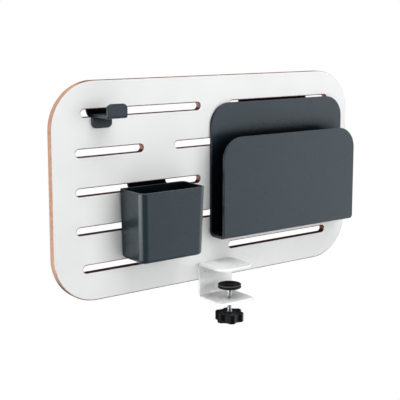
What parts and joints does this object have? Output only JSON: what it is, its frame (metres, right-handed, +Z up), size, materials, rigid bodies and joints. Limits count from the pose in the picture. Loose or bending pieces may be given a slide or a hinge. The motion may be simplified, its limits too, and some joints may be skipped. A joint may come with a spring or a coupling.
{
  "type": "pegboard desk organizer",
  "caption": "Slotted wooden pegboard on a screw clamp for a desk edge, with a hanging pen cup, an open-sided document pocket and a hook.",
  "frame": {"origin": "where the clamp spindle's axis meets the underside of the bracket's soft sheet, the face that rests on the desk top", "axes": "+X to the right along the board, the board's face looks to -Y, +Z up along the spindle"},
  "size_m": [0.6, 0.0823, 0.4052],
  "materials": {
    "beech_wood": "sanded, unvarnished edge",
    "white_laminate": "satin white sheet",
    "white_steel": "white powder coat",
    "soft_foam": "soft sheet",
    "bright_steel": "zinc plated",
    "black_plastic": "fine moulded grain",
    "black_rubber": "matt",
    "grey_plastic": "satin moulding"
  },
  "bodies": {
    "board": {"board_core": "beech_wood", "front_laminate": "white_laminate", "back_laminate": "white_laminate", "clamp_bracket": "white_steel", "desk_pad": "soft_foam", "board_screws": "bright_steel", "board_washers": "bright_steel"},
    "pad": {"pad_cup": "black_plastic", "pad_face": "black_rubber"},
    "screw": {"clamp_screw": "bright_steel", "clamp_knob": "black_plastic", "pad_clip": "bright_steel"},
    "cup": {"pen_cup": "grey_plastic"},
    "pocket": {"document_pocket": "grey_plastic"},
    "hanger": {"hook": "grey_plastic"}
  },
  "joints": [
    {"name": "pad_travel", "type": "slide", "parent": "board", "child": "pad", "axis": [0, 0, 1], "range_m": [-0.017, 0.018]},
    {"name": "knob_turn", "type": "hinge", "parent": "pad", "child": "screw", "pos_m": [0, 0, 0], "axis": [0, 0, 1], "range_deg": [-4896, 5184]},
    {"name": "cup_slide", "type": "slide", "parent": "board", "child": "cup", "axis": [1, 0, 0], "range_m": [-0.092, 0.026]},
    {"name": "pocket_slide", "type": "slide", "parent": "board", "child": "pocket", "axis": [1, 0, 0], "range_m": [-0.024, 0.033]},
    {"name": "hook_slide", "type": "slide", "parent": "board", "child": "hanger", "axis": [1, 0, 0], "range_m": [-0.011, 0.16]}
  ],
  "couplings": [
    {"joint": "pad_travel", "follows": "knob_turn", "m_per_rad": 0.00019894}
  ]
}
